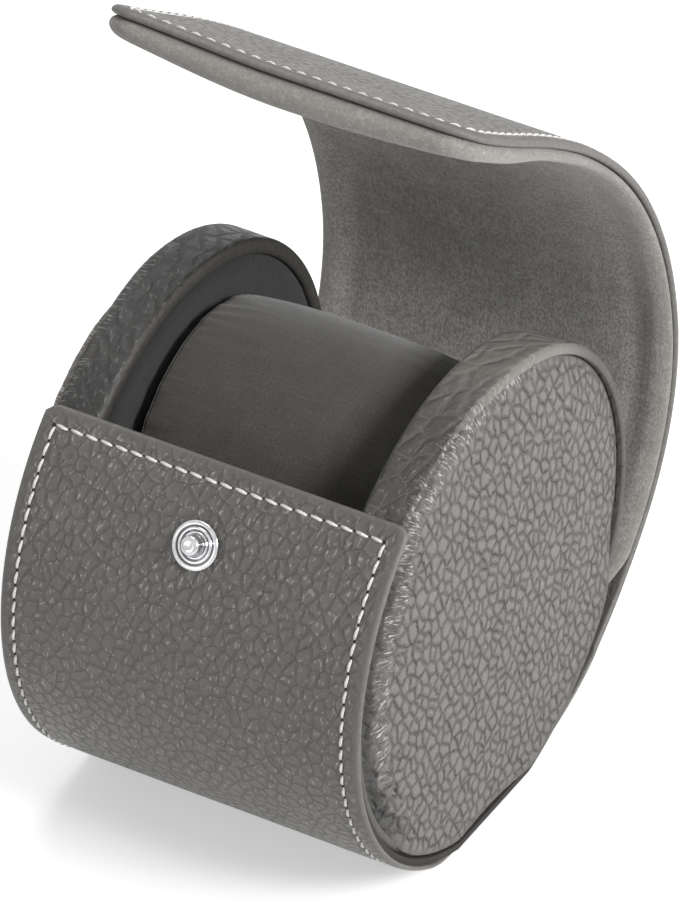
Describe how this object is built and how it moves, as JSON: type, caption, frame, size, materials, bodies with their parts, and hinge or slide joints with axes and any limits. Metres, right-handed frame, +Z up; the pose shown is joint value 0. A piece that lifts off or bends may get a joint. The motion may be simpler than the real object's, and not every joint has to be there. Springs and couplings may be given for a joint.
{
  "type": "watch travel case",
  "caption": "Round leather travel roll for one watch: two padded end cheeks, a stitched wrap with a folding flap and press stud, and a lift-out cushion.",
  "frame": {"origin": "middle of the flat base, straight below the axis of the round roll", "axes": "+X to the right along the roll's axis, +Y to the back where the flap is hinged, +Z up"},
  "size_m": [0.0822, 0.1265, 0.1706],
  "materials": {
    "leather": "satin",
    "suede": "matte",
    "dark_suede": "matte",
    "board": "matte",
    "foam": "matte",
    "metal": "polished"
  },
  "bodies": {
    "case": {"wrap_leather": "leather", "wrap_board": "board", "tray_lining": "suede", "right_cheek_core": "board", "right_cheek_rim": "leather", "right_cheek_pad": "foam", "right_cheek_face": "leather", "right_cheek_lining": "dark_suede", "left_cheek_core": "board", "left_cheek_rim": "leather", "left_cheek_pad": "foam", "left_cheek_face": "leather", "left_cheek_lining": "dark_suede", "snap_stud": "metal", "snap_stud_back": "metal"},
    "flap_1": {"flap_leather_1": "leather", "flap_board_1": "board", "flap_lining_1": "suede"},
    "flap_2": {"flap_leather_2": "leather", "flap_board_2": "board", "flap_lining_2": "suede"},
    "flap_3": {"flap_leather_3": "leather", "flap_board_3": "board", "flap_lining_3": "suede"},
    "flap_4": {"flap_leather_4": "leather", "flap_board_4": "board", "flap_lining_4": "suede"},
    "flap_5": {"flap_leather_5": "leather", "flap_board_5": "board", "flap_lining_5": "suede"},
    "flap_6": {"flap_leather_6": "leather", "flap_board_6": "board", "flap_lining_6": "suede"},
    "flap_7": {"flap_leather_7": "leather", "flap_board_7": "board", "flap_lining_7": "suede", "snap_socket": "metal", "snap_spring": "metal", "snap_socket_back": "metal"},
    "cushion": {"cushion_cover": "dark_suede", "cushion_end_left": "dark_suede", "cushion_end_right": "dark_suede", "cushion_foam": "foam"}
  },
  "joints": [
    {"name": "flap_fold_1", "type": "hinge", "parent": "case", "child": "flap_1", "pos_m": [0, 0.03627, 0.01732], "axis": [-1, 0, 0], "range_deg": [-9, 2]},
    {"name": "flap_fold_2", "type": "hinge", "parent": "flap_1", "child": "flap_2", "pos_m": [0, 0.05614, 0.03651], "axis": [-1, 0, 0], "range_deg": [-16.05, 3.61]},
    {"name": "flap_fold_3", "type": "hinge", "parent": "flap_2", "child": "flap_3", "pos_m": [0, 0.06702, 0.07446], "axis": [-1, 0, 0], "range_deg": [-4.05, 0.94]},
    {"name": "flap_fold_4", "type": "hinge", "parent": "flap_3", "child": "flap_4", "pos_m": [0, 0.05846, 0.10336], "axis": [-1, 0, 0], "range_deg": [-11.55, 2.61]},
    {"name": "flap_fold_5", "type": "hinge", "parent": "flap_4", "child": "flap_5", "pos_m": [0, 0.04433, 0.12354], "axis": [-1, 0, 0], "range_deg": [-10.55, 2.38]},
    {"name": "flap_fold_6", "type": "hinge", "parent": "flap_5", "child": "flap_6", "pos_m": [0, 0.02711, 0.13905], "axis": [-1, 0, 0], "range_deg": [-5.05, 1.16]},
    {"name": "tongue_fold", "type": "hinge", "parent": "flap_6", "child": "flap_7", "pos_m": [0, 0.00932, 0.15128], "axis": [-1, 0, 0], "range_deg": [-35, 7.5]},
    {"name": "cushion_lift", "type": "slide", "parent": "case", "child": "cushion", "axis": [0, 0, 1], "range_m": [0, 0.005]}
  ],
  "couplings": [
    {"joint": "flap_fold_2", "follows": "flap_fold_1", "ratio": 1.7778},
    {"joint": "flap_fold_3", "follows": "flap_fold_1", "ratio": 0.44444},
    {"joint": "flap_fold_4", "follows": "flap_fold_1", "ratio": 1.2778},
    {"joint": "flap_fold_5", "follows": "flap_fold_1", "ratio": 1.1667},
    {"joint": "flap_fold_6", "follows": "flap_fold_1", "ratio": 0.55556}
  ]
}
